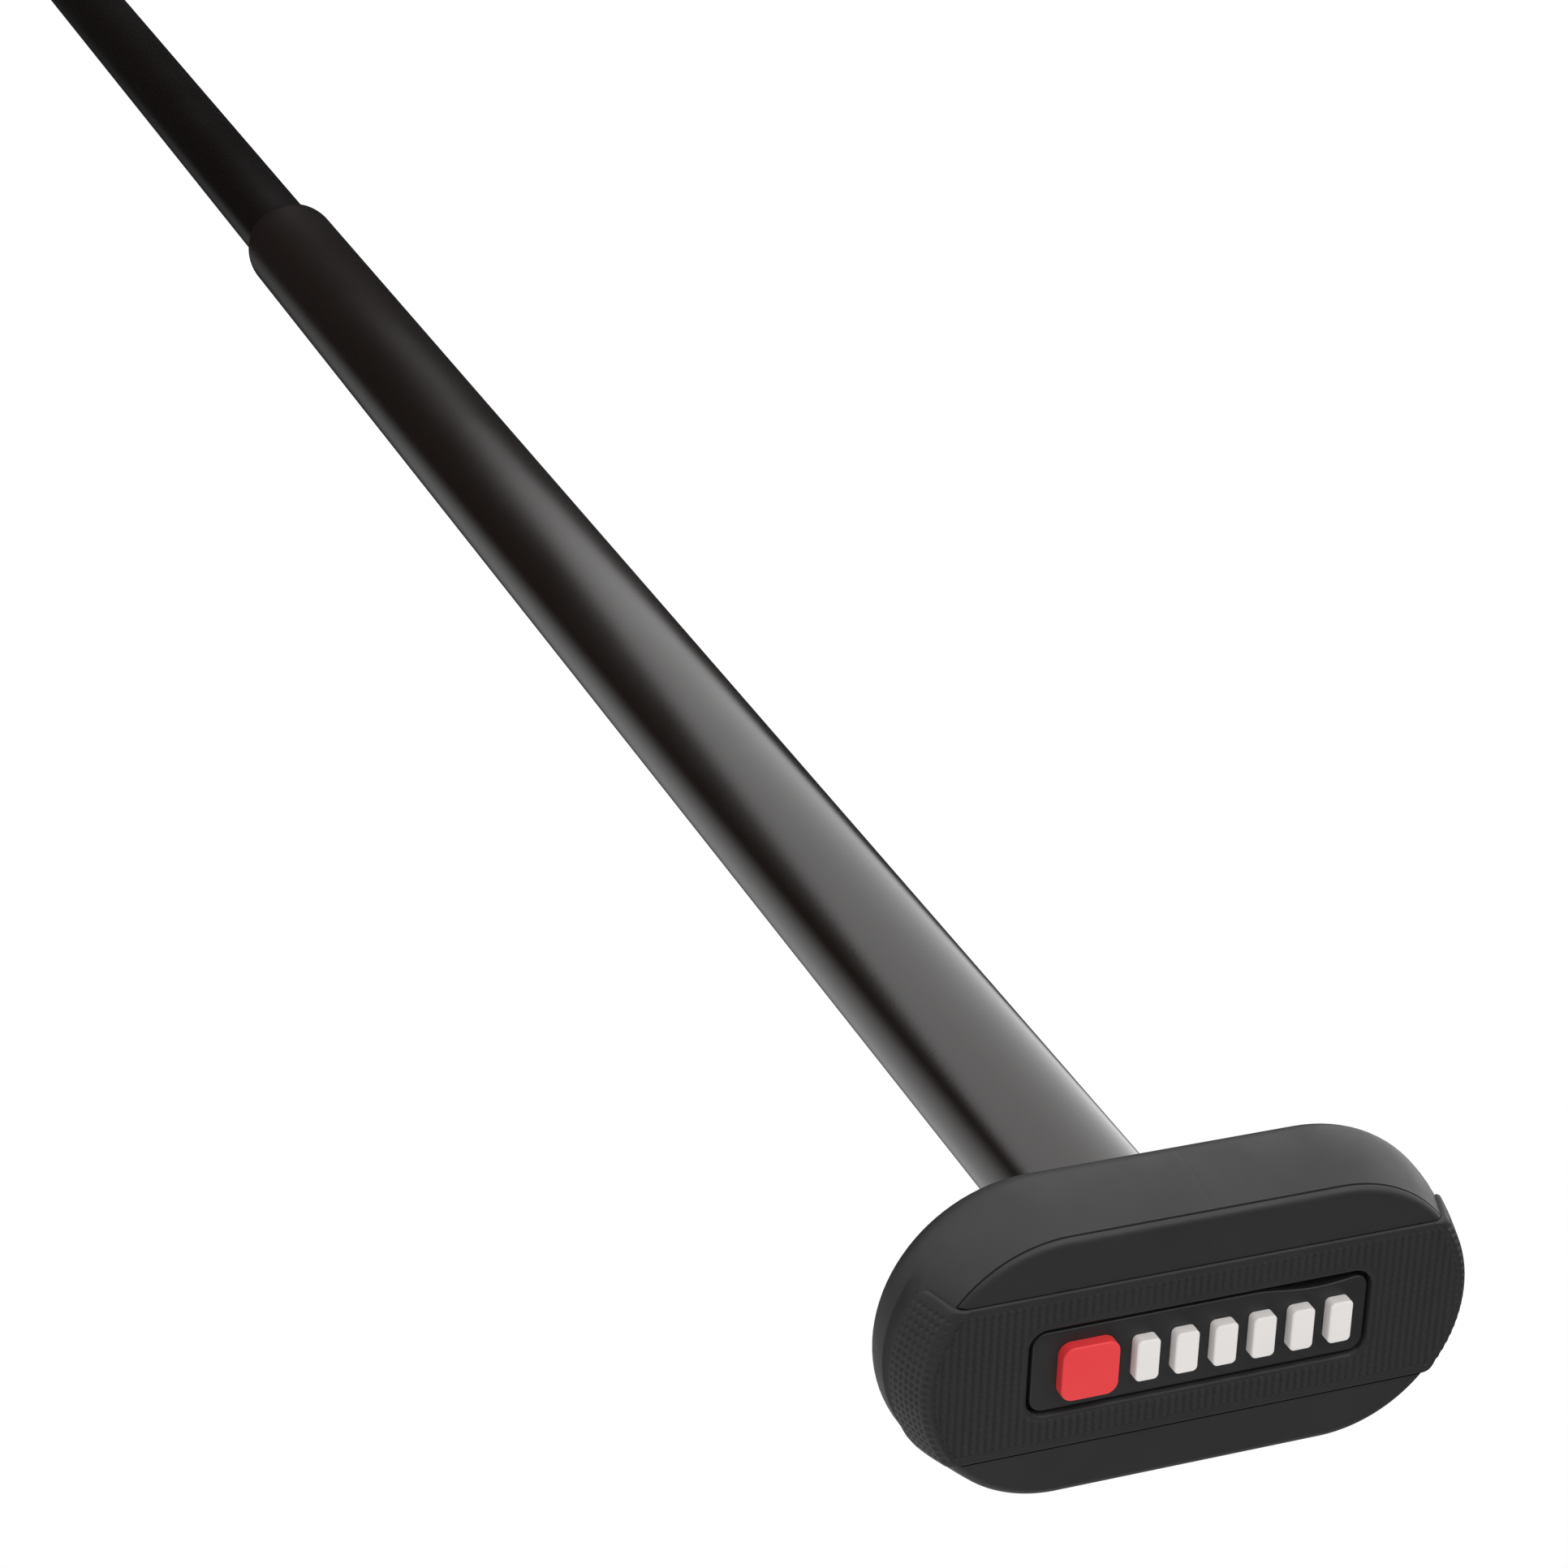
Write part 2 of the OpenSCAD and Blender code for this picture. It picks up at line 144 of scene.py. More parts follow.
def skin_loops(loops, closed=False):
    """Verts and faces of a skin over equal closed loops, with end faces unless it closes."""
    count = len(loops[0])
    verts = [v for loop in loops for v in loop]
    faces = []
    pairs = len(loops) if closed else len(loops) - 1
    for i in range(pairs):
        a = i * count
        b = (i + 1) % len(loops) * count
        for k in range(count):
            n = (k + 1) % count
            faces.append((a + k, a + n, b + n, b + k))
    if not closed:
        faces.append(tuple(reversed(range(count))))
        faces.append(tuple(range(len(verts) - count, len(verts))))
    return verts, outward(verts, faces)


WITNESS_X = 0.6 * MM                  # place of the mould's parting line on the flanks
WITNESS_HALF = 0.13 * MM              # half the width of that line
WITNESS_CLEAR = 0.4 * MM              # no other station stands nearer to it


def stations(side_steps=24, end_steps=48):
    """(base point, outward direction) pairs once round the handle's straight core."""
    sides = [END_X * (1 - 2 * i / side_steps) for i in range(side_steps)]
    sides = [x for x in sides if abs(x - WITNESS_X) > WITNESS_CLEAR]
    sides += [WITNESS_X + step * WITNESS_HALF for step in (-1, 0, 1)]
    found = []
    for side in (1, -1):
        for x in sorted(sides, key=lambda place: -place * side):
            found.append((Vector((x, 0)), Vector((0, side))))
        for i in range(end_steps):
            a = math.pi * i / end_steps
            found.append((Vector((-END_X * side, 0)),
                          Vector((-math.sin(a) * side, math.cos(a) * side))))
    return found


STATIONS = stations()


def oblong_loop(radius, z):
    """The handle's outline at one height, with round ends of the given radius."""
    return [(b.x + d.x * radius, b.y + d.y * radius, z) for b, d in STATIONS]


def join_parts(parts):
    """One list of verts and one of faces from several (verts, faces) pairs."""
    verts, faces = [], []
    for part_verts, part_faces in parts:
        faces += [tuple(k + len(verts) for k in face) for face in part_faces]
        verts += part_verts
    return verts, faces


def lathe(name, profile, steps=96, closed=False):
    """A solid of revolution about the shaft from (radius, z) points."""
    loops = []
    for radius, z in profile:
        loops.append([(radius * math.cos(2 * math.pi * k / steps),
                       radius * math.sin(2 * math.pi * k / steps), z) for k in range(steps)])
    verts, faces = skin_loops(loops, closed)
    return new_object(name, verts, faces)


def arc(centre_r, centre_z, radius, start, end, steps=8):
    """(radius, z) points of an arc, with angles in degrees."""
    points = []
    for i in range(steps + 1):
        a = math.radians(start + (end - start) * i / steps)
        points.append((centre_r + radius * math.cos(a), centre_z + radius * math.sin(a)))
    return points


# ---------------------------------------------------------------- materials
NOISE_LOW = 0.3                       # most of a noise texture's values lie between these
NOISE_HIGH = 0.7
MOTTLE = 140                          # colour drift in mouldings, in features per metre
GLOSS = 260                           # and their uneven gloss
TUBE_DRIFT = 35                       # colour drift in the enamel, in features per metre
TUBE_WIPE = 90                        # its uneven gloss
TUBE_GRAIN = 2000                     # and its orange peel
TUBE_PEEL = 3.4e-6                    # height of that peel, in metres
MARKS = 900                           # turning marks on steel, in features per metre
MARKS_DEPTH = 3e-6                    # and their height, in metres


def nodes_of(name):
    """A new material, its node tree, its shader and a texture coordinate node."""
    mat = bpy.data.materials.new(name)
    mat.use_nodes = True
    tree = mat.node_tree
    shader = tree.nodes["Principled BSDF"]
    coords = tree.nodes.new("ShaderNodeTexCoord")
    return mat, tree, shader, coords


def noise(tree, coords, scale, detail=3, rough=0.5, stretch=None):
    """A noise texture in the object's own space; scale is in features per metre."""
    tex = tree.nodes.new("ShaderNodeTexNoise")
    tex.inputs["Scale"].default_value = scale
    tex.inputs["Detail"].default_value = detail
    tex.inputs["Roughness"].default_value = rough
    source = coords.outputs["Object"]
    if stretch:
        mapping = tree.nodes.new("ShaderNodeMapping")
        mapping.inputs["Scale"].default_value = stretch
        tree.links.new(source, mapping.inputs["Vector"])
        source = mapping.outputs["Vector"]
    tree.links.new(source, tex.inputs["Vector"])
    return tex.outputs["Fac"]


def spread(tree, source, low, high):
    """A noise texture's middle values, spread over the range from low to high."""
    node = tree.nodes.new("ShaderNodeMapRange")
    node.inputs["From Min"].default_value = NOISE_LOW
    node.inputs["From Max"].default_value = NOISE_HIGH
    node.inputs["To Min"].default_value = low
    node.inputs["To Max"].default_value = high
    tree.links.new(source, node.inputs["Value"])
    return node.outputs["Result"]


def tint(tree, source, dark, light):
    """A colour between dark and light, by the source's value."""
    node = tree.nodes.new("ShaderNodeMix")
    node.data_type = "RGBA"
    node.inputs["A"].default_value = (*dark, 1)
    node.inputs["B"].default_value = (*light, 1)
    tree.links.new(source, node.inputs["Factor"])
    return node.outputs["Result"]


def bump(tree, shader, height, distance):
    """Relief on the shader's normal; distance is its height in metres."""
    node = tree.nodes.new("ShaderNodeBump")
    node.inputs["Strength"].default_value = 1.0
    node.inputs["Distance"].default_value = distance
    tree.links.new(height, node.inputs["Height"])
    tree.links.new(node.outputs["Normal"], shader.inputs["Normal"])


def moulded(name, dark, light, roughness, grain, depth, spec=0.5):
    """Moulded plastic or rubber: grain of the given depth, faint mottling and uneven gloss."""
    mat, tree, shader, coords = nodes_of(name)
    mottle = noise(tree, coords, MOTTLE, detail=4)
    tree.links.new(tint(tree, spread(tree, mottle, 0, 1), dark, light), shader.inputs["Base Color"])
    gloss = noise(tree, coords, GLOSS, detail=3)
    tree.links.new(spread(tree, gloss, roughness - 0.04, roughness + 0.04),
                   shader.inputs["Roughness"])
    bump(tree, shader, noise(tree, coords, grain, detail=2, rough=0.6), depth)
    shader.inputs["Specular IOR Level"].default_value = spec
    return mat


def enamel(name, dark, light, spec=0.5):
    """Semi-gloss stove enamel with a fine orange peel."""
    mat, tree, shader, coords = nodes_of(name)
    drift = noise(tree, coords, TUBE_DRIFT, detail=3, stretch=(1, 1, 0.25))
    tree.links.new(tint(tree, spread(tree, drift, 0, 1), dark, light), shader.inputs["Base Color"])
    wipe = noise(tree, coords, TUBE_WIPE, detail=4, stretch=(1, 1, 0.3))
    tree.links.new(spread(tree, wipe, 0.13, 0.17), shader.inputs["Roughness"])
    bump(tree, shader, noise(tree, coords, TUBE_GRAIN, detail=2, rough=0.6), TUBE_PEEL)
    shader.inputs["Specular IOR Level"].default_value = spec
    return mat


def metal(name, colour, roughness):
    """Plated steel with fine turning marks round the shaft's axis."""
    mat, tree, shader, coords = nodes_of(name)
    marks = noise(tree, coords, MARKS, detail=4, stretch=(1, 1, 12))
    light = tuple(min(1, c * 1.08) for c in colour)
    dark = tuple(c * 0.86 for c in colour)
    tree.links.new(tint(tree, spread(tree, marks, 0, 1), dark, light), shader.inputs["Base Color"])
    tree.links.new(spread(tree, marks, roughness - 0.06, roughness + 0.08),
                   shader.inputs["Roughness"])
    bump(tree, shader, marks, MARKS_DEPTH)
    shader.inputs["Metallic"].default_value = 1.0
    return mat


HANDLE = moulded("handle_soft_touch", (0.0200, 0.0198, 0.0200), (0.0230, 0.0227, 0.0229),
                 0.50, 5200, 9e-6, spec=0.28)
BAND = moulded("band_rubber", (0.0190, 0.0190, 0.0192), (0.0220, 0.0218, 0.0220),
               0.55, 6000, 6e-6, spec=0.26)
BADGE = moulded("badge_black", (0.0150, 0.0150, 0.0155), (0.0175, 0.0174, 0.0176),
                0.50, 7000, 3e-6, spec=0.5)
RED = moulded("badge_red", (0.70, 0.032, 0.036), (0.74, 0.038, 0.042), 0.46, 6000, 3e-6, spec=0.4)
WHITE = moulded("badge_white", (0.65, 0.625, 0.61), (0.70, 0.675, 0.66), 0.50, 6000, 4e-6, spec=0.3)
TUBE = enamel("tube_enamel", (0.0075, 0.0048, 0.0038), (0.0100, 0.0064, 0.0052))
INNER = enamel("inner_tube_enamel", (0.0036, 0.0022, 0.0018), (0.0050, 0.0031, 0.0026), spec=0.25)
STEEL = metal("zinc_plate", (0.62, 0.62, 0.63), 0.30)
BUSH = moulded("acetal_bush", (0.70, 0.67, 0.60), (0.76, 0.73, 0.67), 0.35, 3000, 3e-6)
LOCK = moulded("nylon_cone", (0.72, 0.28, 0.05), (0.80, 0.33, 0.07), 0.42, 3000, 4e-6)
PLUG = moulded("nylon_plug", (0.055, 0.055, 0.058), (0.075, 0.075, 0.078), 0.45, 3000, 4e-6)
TIP = moulded("tip_plastic", (0.0150, 0.0150, 0.0155), (0.0190, 0.0190, 0.0195), 0.45, 3500, 8e-6)
WEAR = moulded("tip_rubber", (0.028, 0.028, 0.029), (0.042, 0.041, 0.040), 0.68, 1800, 2e-5)

CAD_LOOKS = {
    "cap_screw_1": STEEL, "cap_screw_2": STEEL, "cross_pin": STEEL, "centre_screw": STEEL,
    "tip_pin": STEEL, "middle_lock_screw": STEEL, "lower_lock_screw": STEEL,
    "upper_mouth_bush": BUSH, "middle_guide_bush": BUSH, "middle_mouth_bush": BUSH,
    "lower_guide_bush": BUSH, "middle_expander": BUSH, "lower_expander": BUSH,
    "middle_cone_nut": LOCK, "lower_cone_nut": LOCK,
    "core_plug": PLUG, "middle_end_plug": PLUG, "lower_end_plug": PLUG, "tip_insert": PLUG,
}


def piece(obj, body, node, material):
    """Finishes a new piece: it stands for one CAD node and moves with its body."""
    obj.data.materials.append(material)
    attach(obj, body)
    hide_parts(node)


# ---------------------------------------------------------------- handle pieces
SEAM_GAP = 0.07 * MM
SHELL_RIM = 2.5 * MM                  # width of the shell's edge under the cap
GROOVE = 0.14 * MM                    # gap between the band and the cap beside it
WITNESS = 0.015 * MM                  # depth of the mould's parting line on the flank
PLUG_DEPTH = 2.4 * RECESS_DEPTH       # how far the cap's plug reaches below the top face
SOCKET_DEPTH = 2.5 * RECESS_DEPTH     # depth of the shell's seat for that plug
CHANNEL_H = 1.7 * MM                  # channel in the shell along the end of each pad
CHANNEL_DEPTH = 0.5 * MM
CHANNEL_FADE = 1.2 * MM               # length over which it runs out at the pad's corners


def in_channel(x, y, z):
    """The point on the round end of the shell, moved in if it lies in the channel."""
    below = (TOP - BAND_DROP - z) / CHANNEL_H
    if abs(x) < END_X or not 0 < below < 1 or abs(y) > BAND_HALF:
        return x, y, z
    fade = min(1, (BAND_HALF - abs(y)) / CHANNEL_FADE)
    depth = CHANNEL_DEPTH * fade * math.sin(math.pi * below) ** 0.7
    base = math.copysign(END_X, x)
    shrink = 1 - depth / math.hypot(x - base, y)
    return base + (x - base) * shrink, y * shrink, z


def rear_shell():
    """The shell from the seam round to the rear face, with its parting line and channels."""
    seam = SEAM_Z - SEAM_GAP
    profile = [(END_R - SHELL_RIM, TOP - SOCKET_DEPTH), (END_R - SHELL_RIM, seam),
               (END_R - 2 * SEAM_GAP, seam)]
    for radius, z in flank_profile(60):
        if z < SEAM_Z - 1.5 * SEAM_GAP:
            profile.append((radius, z))
    profile += rear_profile()[1:]
    loops = [oblong_loop(r, z) for r, z in profile]
    verts, faces = skin_loops(loops)
    marked = []
    for x, y, z in verts:
        if abs(x - WITNESS_X) < 0.05 * MM and REAR_Z + 1 * MM < z < seam:
            y -= math.copysign(WITNESS, y)
        marked.append(in_channel(x, y, z))
    return new_object("handle_rear_shell", marked, faces)


def cap_segment(side):
    """Verts and faces of the cap beside the band: a bow-shaped plate with a rounded rim."""
    inner = BAND_HALF + GROOVE
    arc_steps = 40
    side_steps = 24

    def loop(radius, z):
        start = math.asin(inner / radius)
        points = []
        for i in range(arc_steps + 1):
            a = start + (math.pi / 2 - start) * i / arc_steps
            points.append((END_X + radius * math.cos(a), radius * math.sin(a)))
        for i in range(1, side_steps):
            points.append((END_X - 2 * END_X * i / side_steps, radius))
        for i in range(arc_steps + 1):
            a = math.pi / 2 + (math.pi / 2 - start) * i / arc_steps
            points.append((-END_X + radius * math.cos(a), radius * math.sin(a)))
        return [(x, side * y, z) for x, y in points]

    edge = [p for p in reversed(edge_profile(14)) if p[1] > SEAM_Z + 0.5 * SEAM_GAP]
    rim = END_R - 2 * SEAM_GAP
    loops = [loop(rim, SEAM_Z - 0.5 * SEAM_GAP), loop(rim, SEAM_Z)]
    loops += [loop(r, z) for r, z in edge]
    return skin_loops(loops)


def front_cap():
    """Two bow-shaped plates beside the band, and the plug under it that holds the badge."""
    plug = skin_loops([oblong_loop(END_R - SHELL_RIM, TOP - PLUG_DEPTH),
                       oblong_loop(END_R - SHELL_RIM, TOP - RECESS_DEPTH)])
    verts, faces = join_parts([cap_segment(1), cap_segment(-1), plug])
    return new_object("handle_front_cap", verts, faces)


def collar():
    """Moulded collar where the shaft enters the handle, with a fillet into the rear face."""
    inner = upper_high.x + 0.08 * MM
    fillet = 1.0 * MM
    lip = 0.35 * MM
    chamfer = 0.1 * MM
    root = REAR_Z + 1.0 * MM
    profile = [(inner, root), (inner, BOSS_Z + chamfer), (inner + chamfer, BOSS_Z)]
    profile += arc(BOSS_R - lip, BOSS_Z + lip, lip, -90, 0, 6)
    profile += arc(BOSS_R + fillet, REAR_Z - fillet, fillet, 180, 90, 8)
    profile.append((BOSS_R + fillet, root))
    return lathe("handle_collar", profile, closed=True)


# ---------------------------------------------------------------- textured band
PITCH = 0.75 * MM                     # from one groove to the next
CELL = PITCH / 6                      # step of the band's mesh
BAND_ROUND = 0.42 * MM                # rounding of the band's edges
PAD_CORNER = 1.3 * MM                 # corners of the pads at the two ends
BAND_SINK = 1.1 * MM                  # how deep the band reaches below the handle's surface
FRONT_SHARE = 0.45                    # how far the band stands proud in front, against the ends
TEXTURE = 0.16 * MM                   # depth of the pits and grooves
BORDER = 0.75 * MM                    # smooth border round the texture
TEXTURE_FADE = 0.25 * MM              # length over which the texture runs out into it
EDGE_CLEAR = 0.3 * MM                 # least width of smooth border at the band's outer edge
SIDE_RUN = 1.2 * MM                   # length over which the front's look turns into a pad's
SIDE_LEAD = 0.3                       # share of that turn already made where the front curves
END_RUN = 1.5 * MM                    # where, and how fast, the pads' edges grow sharper
END_SHARP = 0.5
FRONT_CROSS = 0.22                    # how much the ribs are cut across on the front face
PAD_CROSS = 0.90                      # and on the pads, where they become a square grid


def offset_profile(points, grow):
    """(radius, z) points moved out along the normals, with the path length to each."""
    moved = []
    for i, (r, z) in enumerate(points):
        before = points[max(0, i - 1)]
        after = points[min(len(points) - 1, i + 1)]
        along = Vector((after[0] - before[0], after[1] - before[1])).normalized()
        moved.append((r - along.y * grow, z + along.x * grow))
    lengths = [0]
    for a, b in zip(points, points[1:]):
        lengths.append(lengths[-1] + math.hypot(b[0] - a[0], b[1] - a[1]))
    return np.array(moved), np.array(lengths)


def wave(t):
    """Smooth pits, one a pitch, flat ridges between them."""
    w = 0.5 - 0.5 * np.cos(2 * np.pi * t)
    return w * w * (3 - 2 * w)


def box_distance(x, y, half_x, half_y, corner):
    """Signed distance to a rectangle with round corners, negative inside."""
    qx = np.abs(x) - (half_x - corner)
    qy = np.abs(y) - (half_y - corner)
    outside = np.hypot(np.maximum(qx, 0), np.maximum(qy, 0))
    return outside + np.minimum(np.maximum(qx, qy), 0) - corner


FLAT_R = edge_profile()[0][0]         # end radius of the flat part of the front face


def on_front(path, y):
    """Place along X on the flat front face, and the path left over beyond its round end."""
    straight = END_X + math.sqrt(FLAT_R ** 2 - BAND_HALF ** 2)
    reach = END_X + FLAT_R - straight
    over = np.abs(path) - straight
    round_end = END_X + np.sqrt(FLAT_R ** 2 - y ** 2)
    bowed = straight + np.clip(over / reach, 0, 1) * (round_end - straight)
    return np.where(over < 0, np.abs(path), bowed), over - reach


def band_base():
    """The handle's surface from the flat front face outward, as (radius, z) points."""
    return edge_profile(16) + flank_profile(32)[1:]


def band_surface(path, y, lift):
    """Points on the handle's surface, lifted; path runs from the middle of the front face."""
    profile, lengths = offset_profile(band_base(), 0)
    normal_profile = offset_profile(band_base(), 1 * MM)[0]
    side = np.sign(path)
    x_flat, beyond = on_front(path, y)
    on_flat = beyond < 0
    s = np.clip(beyond, 0, lengths[-1])
    r = np.interp(s, lengths, profile[:, 0])
    z = np.interp(s, lengths, profile[:, 1])
    nr = np.interp(s, lengths, normal_profile[:, 0] - profile[:, 0]) / MM
    nz = np.interp(s, lengths, normal_profile[:, 1] - profile[:, 1]) / MM
    out = np.sqrt(np.maximum(r ** 2 - y ** 2, 0))
    x_side = END_X + out
    nx = nr * out / r
    ny = nr * y / r
    x = np.where(on_flat, x_flat, x_side)
    px = side * (x + np.where(on_flat, 0, nx) * lift)
    py = y + np.where(on_flat, 0, ny) * lift
    pz = np.where(on_flat, TOP, z) + np.where(on_flat, 1, nz) * lift
    return np.stack([px, py, pz], -1)


def path_end():
    """Path length from the middle of the front face to the end of the pad."""
    profile, lengths = offset_profile(band_base(), 0)
    return END_X + FLAT_R + np.interp(-(TOP - BAND_DROP), -profile[:, 1], lengths)


def grip_band():
    """The band as one skin: a grid on the handle's surface, cut to its outline, with pits."""
    half_path = path_end()
    columns = int(round(2 * (half_path + CELL) / CELL))
    rows = int(round(2 * (BAND_HALF + CELL) / CELL))
    p = np.linspace(-half_path - CELL, half_path + CELL, columns + 1)
    q = np.linspace(-BAND_HALF - CELL, BAND_HALF + CELL, rows + 1)
    path, y = np.meshgrid(p, q, indexing="ij")

    def distance(a, b):
        outer = box_distance(a, b, half_path, BAND_HALF, PAD_CORNER)
        hole = box_distance(a, b, RECESS_HALF.x, RECESS_HALF.y, RECESS_CORNER)
        return np.maximum(outer, -hole)

    d = distance(path, y)
    keep = d <= 0
    # the outermost kept points are moved onto the band's edge
    step = 1e-6
    gx = (distance(path + step, y) - distance(path - step, y)) / (2 * step)
    gy = (distance(path, y + step) - distance(path, y - step)) / (2 * step)
    gone = ~keep
    near = np.zeros_like(keep)
    for dx in (-1, 0, 1):
        for dy in (-1, 0, 1):
            near |= np.roll(np.roll(gone, dx, 0), dy, 1)
    rim = keep & near
    path = np.where(rim, path - gx * d, path)
    y = np.where(rim, y - gy * d, y)
    d = np.where(rim, 0, d)

    place, beyond = on_front(path, np.clip(y, -BAND_HALF, BAND_HALF))
    on_side = np.clip(beyond / SIDE_RUN + SIDE_LEAD, 0, 1)
    along = np.where(beyond < 0, place, END_X + FLAT_R + beyond)
    cross_share = FRONT_CROSS + (PAD_CROSS - FRONT_CROSS) * on_side
    pits = wave(along / PITCH) * (1 - cross_share + cross_share * wave(y / PITCH))
    hole = box_distance(path, y, RECESS_HALF.x, RECESS_HALF.y, RECESS_CORNER)
    plain = np.minimum(BAND_HALF - np.abs(y) - BORDER, hole - 0.6 * BORDER)
    fade = np.clip(np.minimum(plain, -d - EDGE_CLEAR) / TEXTURE_FADE, 0, 1)
    texture = -TEXTURE * pits * fade
    share = FRONT_SHARE + (1 - FRONT_SHARE) * on_side
    at_end = np.clip(beyond / END_RUN - 1, 0, 1)
    radius = BAND_ROUND * share * (1 - END_SHARP * at_end)
    rounding = np.clip(1 + d / radius, 0, 1)
    drop = radius * (1 - np.sqrt(1 - rounding ** 2))
    lift = BAND_PROUD * share + texture - drop
    outer = band_surface(path, np.clip(y, -BAND_HALF, BAND_HALF), lift)
    inner = band_surface(path, np.clip(y, -BAND_HALF, BAND_HALF), np.full_like(d, -BAND_SINK))

    index = -np.ones(keep.shape, int)
    index[keep] = np.arange(keep.sum())
    count = int(keep.sum())
    verts = np.concatenate([outer[keep], inner[keep]])
    a, b = index[:-1, :-1], index[1:, :-1]
    c, e = index[1:, 1:], index[:-1, 1:]
    full = (a >= 0) & (b >= 0) & (c >= 0) & (e >= 0)
    quads = np.stack([a[full], b[full], c[full], e[full]], -1)
    triangles = []
    for trio in ((a, b, c, e), (b, c, e, a), (c, e, a, b), (e, a, b, c)):
        half = (trio[0] >= 0) & (trio[1] >= 0) & (trio[2] >= 0) & (trio[3] < 0)
        triangles.append(np.stack([trio[0][half], trio[1][half], trio[2][half]], -1))
    top = [tuple(f) for f in quads.tolist()]
    for group in triangles:
        top += [tuple(f) for f in group.tolist()]
    edges = {}
    for f in top:
        for i in range(len(f)):
            key = (f[i], f[(i + 1) % len(f)])
            edges[key] = True
    walls = [(v, u, u + count, v + count) for u, v in edges if (v, u) not in edges]
    faces = top + [tuple(i + count for i in reversed(f)) for f in top] + walls
    return new_object("grip_band_skin", verts.tolist(), faces, smooth_angle=60)


# ---------------------------------------------------------------- badge
PLATE_CORNER = RECESS_CORNER - 0.4 * MM
PLATE_BEVEL = 0.15 * MM
STUD_CORNER = 1.2 * MM
STUD_BEVEL = 0.22 * MM
BAR_CORNER = 0.5 * MM
BAR_BEVEL = 0.2 * MM
LEAST_CORNER = 0.02 * MM              # a bevel leaves at least this much of a corner's radius
WEDGE_X = 11.5 * MM                   # middle of the stretch where the plate shrank back
WEDGE_HALF = 6.5 * MM
WEDGE_DEPTH = 0.6 * MM


def rounded_loop(half_x, half_y, corner, z, centre=(0, 0), steps=10, between=0):
    """A rectangle with round corners, and points along its straight sides if wanted."""
    points = []
    for i in range(4):
        cx = (half_x - corner) * (1, -1, -1, 1)[i]
        cy = (half_y - corner) * (1, 1, -1, -1)[i]
        for k in range(steps + 1):
            a = math.pi / 2 * (i + k / steps)
            points.append((centre[0] + cx + corner * math.cos(a),
                           centre[1] + cy + corner * math.sin(a), z))
    filled = []
    for i, start in enumerate(points):
        filled.append(start)
        if (i + 1) % (steps + 1) == 0:
            stop = Vector(points[(i + 1) % len(points)])
            for k in range(between):
                filled.append(tuple(Vector(start).lerp(stop, (k + 1) / (between + 1))))
    return filled


def soft_block(half_x, half_y, corner, low, high, bevel, centre=(0, 0), between=0):
    """Verts and faces of an upright block with round corners and a rounded top edge."""
    steps = 5
    loops = [rounded_loop(half_x, half_y, corner, low, centre, between=between)]
    for i in range(steps + 1):
        a = math.pi / 2 * i / steps
        inset = bevel * (1 - math.cos(a))
        loops.append(rounded_loop(half_x - inset, half_y - inset,
                                  max(corner - inset, LEAST_CORNER),
                                  high - bevel + bevel * math.sin(a), centre, between=between))
    return skin_loops(loops)


def badge_plate():
    """The soft plate, with one long edge shrunk back from the recess towards the far end."""
    size = (plate_high - plate_low) / 2
    verts, faces = soft_block(size.x, size.y, PLATE_CORNER, plate_low.z, plate_high.z,
                              PLATE_BEVEL, between=48)
    bent = []
    for x, y, z in verts:
        along = max(0, 1 - ((x - WEDGE_X) / WEDGE_HALF) ** 2)
        if y > 0:
            y -= WEDGE_DEPTH * along ** 2 * (y / size.y)
        bent.append((x, y, z))
    return new_object("badge_plate_skin", bent, faces, smooth_angle=50)


def badge_stud():
    """The raised stud at one end of the badge."""
    size = (stud_high - stud_low) / 2
    centre = ((stud_high.x + stud_low.x) / 2, 0)
    verts, faces = soft_block(size.x, size.y, STUD_CORNER, stud_low.z, stud_high.z,
                              STUD_BEVEL, centre)
    return new_object("badge_stud_skin", verts, faces, smooth_angle=50)


def badge_bar(number):
    """One of the raised bars beside the stud."""
    low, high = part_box(f"badge_bar_{number}")
    size = (high - low) / 2
    centre = ((high.x + low.x) / 2, 0)
    verts, faces = soft_block(size.x, size.y, BAR_CORNER, low.z, high.z, BAR_BEVEL, centre)
    return new_object(f"badge_bar_{number}_skin", verts, faces, smooth_angle=50)


# ---------------------------------------------------------------- shaft and tip
UPPER_BORE = 6.2 * MM                 # bore radii of the three tubes
MIDDLE_BORE = 4.65 * MM
LOWER_BORE = 3.5 * MM
WALL_GAP = 0.05 * MM                  # between a swaged lip and the tube that slides in it
SWAGE = 3 * MM                        # height of the swaged mouths
LIP_LAND = 1 * MM                     # straight stretch inside a swaged mouth


def tube_profile(low, high, outer, bore, lip):
    """Closed wall section of a tube whose lower end is swaged in to the lip."""
    rim = 0.18 * MM
    outside_steps = 24
    inside_steps = 12
    outside = [(lip + rim * 0.4, low)]
    for i in range(1, outside_steps + 1):
        a = math.pi / 2 * i / outside_steps
        outside.append((lip + rim + (outer - lip - rim) * math.sin(a),
                        low + SWAGE * (1 - math.cos(a))))
    inside = [(bore, high)]
    for i in range(inside_steps + 1):
        a = math.pi / 2 * i / inside_steps
        inside.append((lip + (bore - lip) * math.cos(a),
                       low + SWAGE - (SWAGE - LIP_LAND) * math.sin(a)))
    inside.append((lip, low + rim))
    return outside + [(outer, high)] + inside


def upper_tube():
    profile = tube_profile(upper_low.z, upper_high.z, upper_high.x, UPPER_BORE,
                           middle_high.x + WALL_GAP)
    return lathe("upper_tube_skin", profile, steps=160, closed=True)


